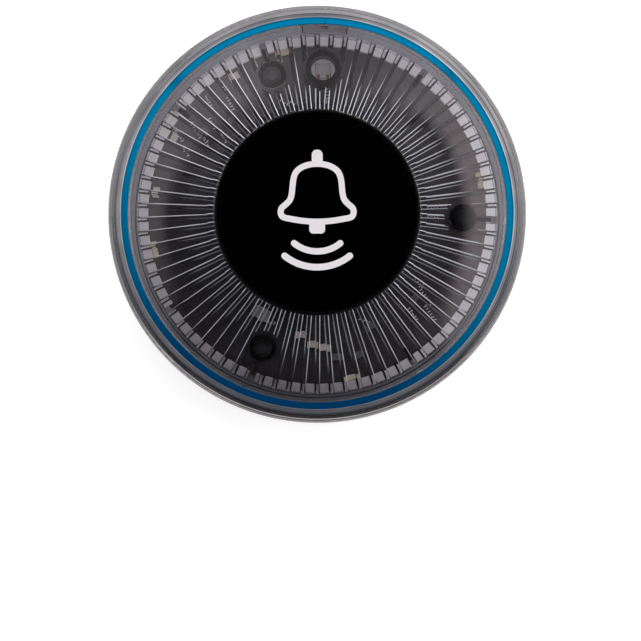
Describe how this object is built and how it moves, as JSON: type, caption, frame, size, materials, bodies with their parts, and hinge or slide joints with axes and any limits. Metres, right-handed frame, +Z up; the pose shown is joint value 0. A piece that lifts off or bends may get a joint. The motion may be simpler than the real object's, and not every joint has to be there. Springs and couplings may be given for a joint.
{
  "type": "waiter call button",
  "caption": "Round table-top call button: smoked ribbed cover with inlaid ring, pressing centre disc with a bell sign, twist battery door underneath.",
  "frame": {"origin": "centre of the plane that the rubber feet stand on", "axes": "+Z up, +Y towards the top of the bell sign, +X to its right"},
  "size_m": [0.08, 0.08, 0.0205],
  "materials": {
    "smoked_clear": "smoked clear polycarbonate, polished",
    "smoked_base": "smoked translucent plastic, polished",
    "blue_accent": "deep blue moulded plastic, satin gloss",
    "frosted_guide": "frosted light guide",
    "black_plastic": "black moulded plastic, fine matt",
    "black_rubber": "black silicone rubber",
    "sign_print": "black disc with a white printed bell sign",
    "spring_steel": "drawn spring wire",
    "tin_plate": "tinned sheet",
    "board_black": "black solder mask with white print",
    "led_cream": "cream LED package",
    "chip_black": "moulded chip package",
    "ceramic_tan": "ceramic chip with tinned ends",
    "chip_grey": "chip resistor",
    "cell_steel": "stamped steel can",
    "screw_zinc": "zinc plated screw"
  },
  "bodies": {
    "base": {"top_cover": "smoked_clear", "base_shell": "smoked_base", "accent_ring": "blue_accent", "light_guide_ring": "frosted_guide", "housing_seal": "black_rubber", "return_spring": "spring_steel", "switch_body": "black_plastic", "switch_frame": "tin_plate", "switch_legs": "tin_plate", "circuit_board": "board_black", "rim_leds": "led_cream", "indicator_led": "led_cream", "led_tube": "black_rubber", "main_chip": "chip_black", "chip_pins": "tin_plate", "radio_crystal": "tin_plate", "antenna_coil": "spring_steel", "capacitors": "ceramic_tan", "resistors": "chip_grey", "contact_negative": "tin_plate", "contact_positive": "tin_plate", "coin_cell": "cell_steel", "case_screws": "screw_zinc", "rubber_feet": "black_rubber"},
    "button": {"button_cap": "black_plastic", "sign_disc": "sign_print"},
    "plunger": {"switch_plunger": "black_plastic"},
    "door": {"battery_door": "black_plastic", "door_seal": "black_rubber"}
  },
  "joints": [
    {"name": "button_press", "type": "slide", "parent": "base", "child": "button", "axis": [0, 0, -1], "range_m": [0, 0.0006], "stiffness_N_per_m": 1200, "springref_m": -0.001, "deforming": ["return_spring"]},
    {"name": "plunger_press", "type": "slide", "parent": "base", "child": "plunger", "axis": [0, 0, -1], "range_m": [0, 0.0006]},
    {"name": "door_twist", "type": "hinge", "parent": "base", "child": "door", "pos_m": [0, 0, 0.0015], "axis": [0, 0, -1], "range_deg": [0, 30]}
  ],
  "couplings": [
    {"joint": "plunger_press", "follows": "button_press", "ratio": 1}
  ]
}
